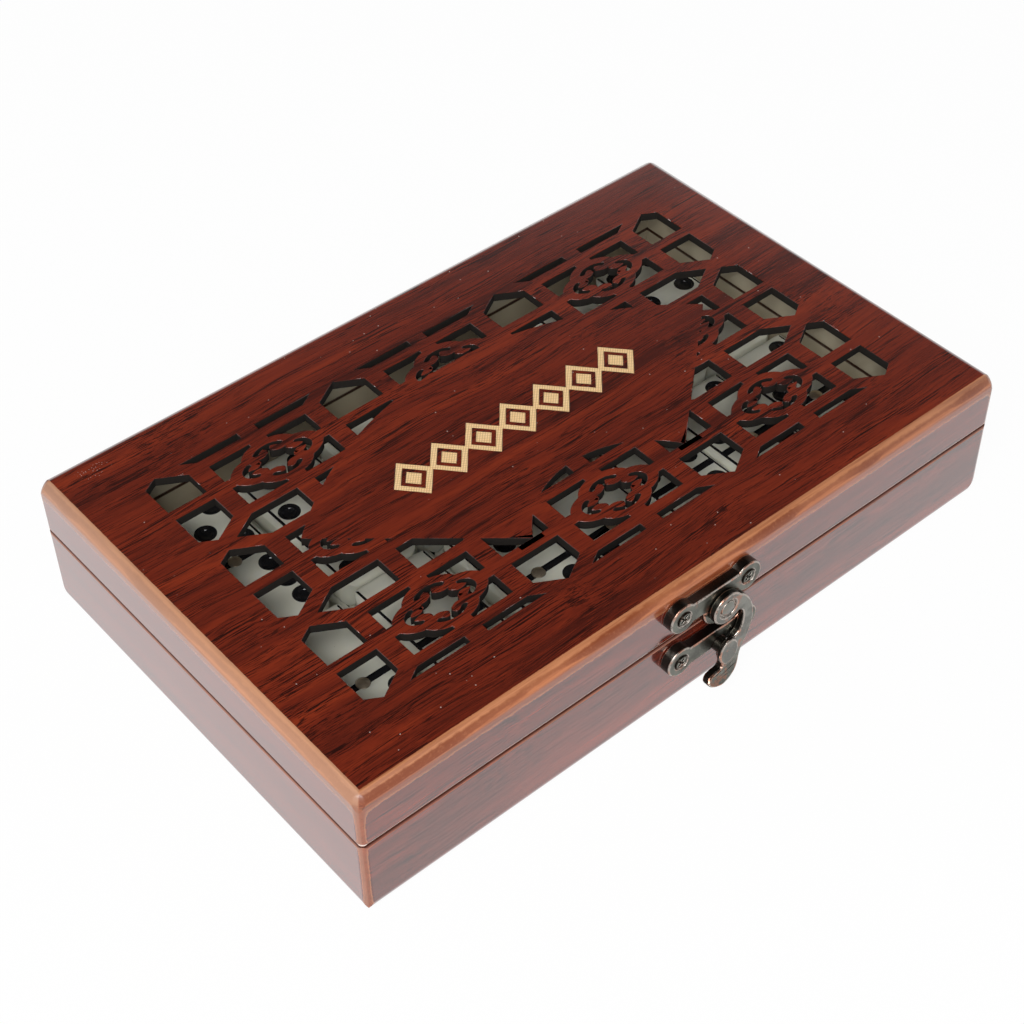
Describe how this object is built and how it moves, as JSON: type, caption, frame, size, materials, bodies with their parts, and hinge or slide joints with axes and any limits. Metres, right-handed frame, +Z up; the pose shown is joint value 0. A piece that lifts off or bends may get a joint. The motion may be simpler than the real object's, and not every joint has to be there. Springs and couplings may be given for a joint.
{
  "type": "domino storage box",
  "caption": "Veneered wooden domino box with a pierced lattice lid, bronze hook latch, back hinges and a double-six set inside.",
  "frame": {"origin": "centre of the underside, where the box rests", "axes": "+X along the length (latch side facing -Y), +Y from the latch to the hinges, +Z up"},
  "size_m": [0.2, 0.1366, 0.0393],
  "materials": {
    "veneer": "gloss",
    "lattice_wood": "gloss",
    "inner_wood": "matte",
    "gilt": "satin",
    "bronze": "satin",
    "copper_rub": "satin",
    "brass": "satin",
    "ivory": "gloss"
  },
  "bodies": {
    "base": {"base_front_wall": "veneer", "base_back_wall": "veneer", "base_left_wall": "veneer", "base_right_wall": "veneer", "base_floor": "inner_wood", "hinge_left_base_leaf": "brass", "hinge_right_base_leaf": "brass", "hinge_left_pin": "brass", "hinge_right_pin": "brass", "hinge_base_screws": "brass", "catch_plate": "bronze", "catch_plate_screws": "bronze", "catch_post": "copper_rub", "spinner_pins": "brass", "domino_0_0": "ivory", "domino_1_3": "ivory", "domino_2_5": "ivory", "domino_4_6": "ivory", "domino_0_2": "ivory", "domino_5_5": "ivory", "domino_1_6": "ivory", "domino_4_4": "ivory", "domino_0_5": "ivory", "domino_6_6": "ivory", "domino_0_1": "ivory", "domino_3_6": "ivory", "domino_2_3": "ivory", "domino_4_5": "ivory", "domino_5_6": "ivory", "domino_2_4": "ivory", "domino_3_3": "ivory", "domino_1_5": "ivory", "domino_2_6": "ivory", "domino_0_3": "ivory", "domino_1_4": "ivory", "domino_0_4": "ivory", "domino_1_1": "ivory", "domino_1_2": "ivory", "domino_0_6": "ivory", "domino_3_5": "ivory", "domino_3_4": "ivory", "domino_2_2": "ivory"},
    "lid": {"lid_front_wall": "veneer", "lid_back_wall": "veneer", "lid_left_wall": "veneer", "lid_right_wall": "veneer", "lattice_board": "lattice_wood", "inlay_chain": "gilt", "inlay_lozenges": "gilt", "hinge_left_lid_leaf": "brass", "hinge_right_lid_leaf": "brass", "hinge_lid_screws": "brass", "latch_plate": "bronze", "latch_plate_screws": "bronze", "latch_rivet": "copper_rub"},
    "hook": {"latch_hook": "copper_rub"}
  },
  "joints": [
    {"name": "lid_hinge", "type": "hinge", "parent": "base", "child": "lid", "pos_m": [0, 0.0646, 0.02355], "axis": [-1, 0, 0], "range_deg": [0, 180]},
    {"name": "hook_swing", "type": "hinge", "parent": "lid", "child": "hook", "pos_m": [0.002, -0.0675, 0.0287], "axis": [0, -1, 0], "range_deg": [0, 95]}
  ]
}
